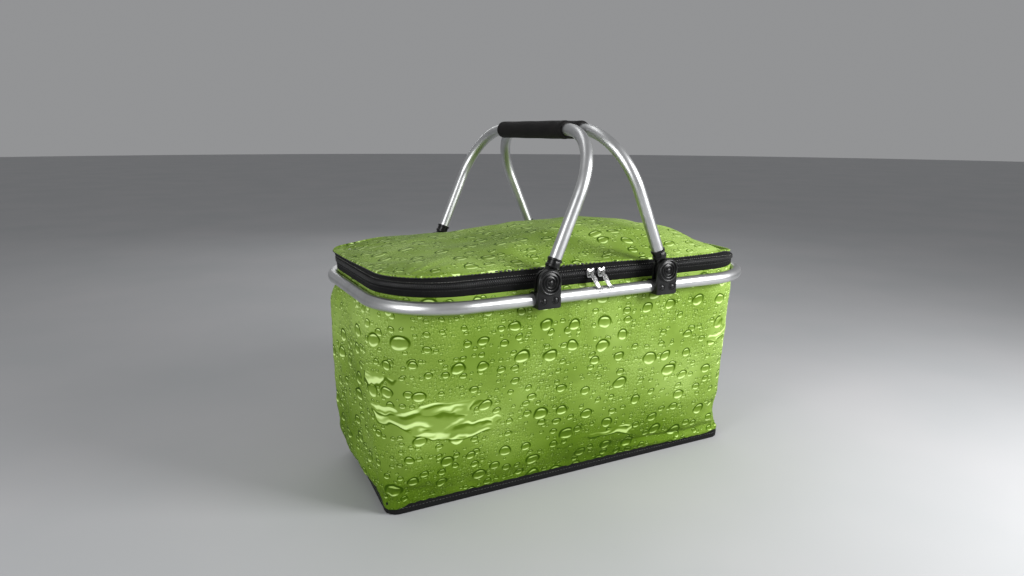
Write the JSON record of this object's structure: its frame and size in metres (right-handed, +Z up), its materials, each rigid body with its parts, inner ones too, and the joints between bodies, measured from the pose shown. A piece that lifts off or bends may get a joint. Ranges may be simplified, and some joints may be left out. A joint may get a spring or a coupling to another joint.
{
  "type": "insulated cooler bag",
  "caption": "Padded soft cooler basket with a domed zip lid, hung inside an oval aluminium rim, with folding carrying bails that swing on plastic brackets.",
  "frame": {"origin": "on the surface it stands on, under the middle of the base", "axes": "+X along the basket to the right, -Y to the front where the zip pulls hang, +Z up"},
  "size_m": [0.4824, 0.307, 0.405],
  "materials": {
    "green_fabric": "satin",
    "black_fabric": "matte",
    "aluminium_tube": "satin",
    "black_plastic": "satin",
    "grip_foam": "matte",
    "silver_foil": "gloss",
    "white_foam": "matte",
    "zip_metal": "polished",
    "board_plastic": "matte"
  },
  "bodies": {
    "root": {"outer_shell": "green_fabric", "wall_foam": "white_foam", "foil_liner": "silver_foil", "liner_hem": "black_fabric", "base_binding": "black_fabric", "base_panel": "black_fabric", "floor_foam": "white_foam", "rim_tube_left": "aluminium_tube", "rim_tube_right": "aluminium_tube", "rim_tube_front": "aluminium_tube", "rim_tube_back": "aluminium_tube", "bracket_front_left": "black_plastic", "bracket_front_right": "black_plastic", "bracket_back_left": "black_plastic", "bracket_back_right": "black_plastic", "backing_plate_front_left": "black_plastic", "backing_plate_front_right": "black_plastic", "backing_plate_back_left": "black_plastic", "backing_plate_back_right": "black_plastic", "pivot_pin_front_left": "zip_metal", "pivot_pin_front_right": "zip_metal", "pivot_pin_back_left": "zip_metal", "pivot_pin_back_right": "zip_metal", "rim_rivet_front_left_a": "black_plastic", "rim_rivet_front_left_b": "black_plastic", "rim_rivet_front_right_a": "black_plastic", "rim_rivet_front_right_b": "black_plastic", "rim_rivet_back_left_a": "black_plastic", "rim_rivet_back_left_b": "black_plastic", "rim_rivet_back_right_a": "black_plastic", "rim_rivet_back_right_b": "black_plastic", "zip_tape_lower": "black_fabric", "zip_teeth_lower": "black_plastic", "hinge_band_lower": "black_fabric"},
    "bail_left": {"bail_tube_left": "aluminium_tube", "bail_grip_left": "grip_foam", "bail_socket_front_left": "black_plastic", "bail_socket_back_left": "black_plastic"},
    "bail_right": {"bail_tube_right": "aluminium_tube", "bail_grip_right": "grip_foam", "bail_socket_front_right": "black_plastic", "bail_socket_back_right": "black_plastic"},
    "lid": {"lid_cover": "green_fabric", "lid_foam": "white_foam", "lid_lining": "silver_foil", "zip_tape_upper": "black_fabric", "zip_teeth_upper": "black_plastic", "hinge_band_upper": "black_fabric"},
    "slider_left": {"zip_slider_left": "zip_metal"},
    "slider_right": {"zip_slider_right": "zip_metal"},
    "pull_left": {"zip_pull_left": "zip_metal"},
    "pull_right": {"zip_pull_right": "zip_metal"},
    "base_board": {"base_board": "board_plastic"}
  },
  "joints": [
    {"name": "bail_left_swing", "type": "hinge", "parent": "root", "child": "bail_left", "pos_m": [-0.074, 0, 0.2465], "axis": [0, -1, 0], "range_deg": [0, 104]},
    {"name": "bail_right_swing", "type": "hinge", "parent": "root", "child": "bail_right", "pos_m": [0.074, 0, 0.2465], "axis": [0, 1, 0], "range_deg": [0, 104]},
    {"name": "lid_open", "type": "hinge", "parent": "root", "child": "lid", "pos_m": [0, 0.13, 0.248], "axis": [1, 0, 0], "range_deg": [-26, 0]},
    {"name": "slider_left_travel", "type": "slide", "parent": "root", "child": "slider_left", "axis": [1, 0, 0], "range_m": [-0.042, 0]},
    {"name": "slider_right_travel", "type": "slide", "parent": "root", "child": "slider_right", "axis": [-1, 0, 0], "range_m": [-0.042, 0]},
    {"name": "pull_left_swing", "type": "hinge", "parent": "slider_left", "child": "pull_left", "pos_m": [-0.0138, -0.1354, 0.248], "axis": [-1, 0, 0], "range_deg": [0, 110]},
    {"name": "pull_right_swing", "type": "hinge", "parent": "slider_right", "child": "pull_right", "pos_m": [0, -0.1354, 0.248], "axis": [-1, 0, 0], "range_deg": [0, 110]},
    {"name": "board_lift", "type": "slide", "parent": "root", "child": "base_board", "axis": [0, 0, 1], "range_m": [0, 0.2]}
  ]
}
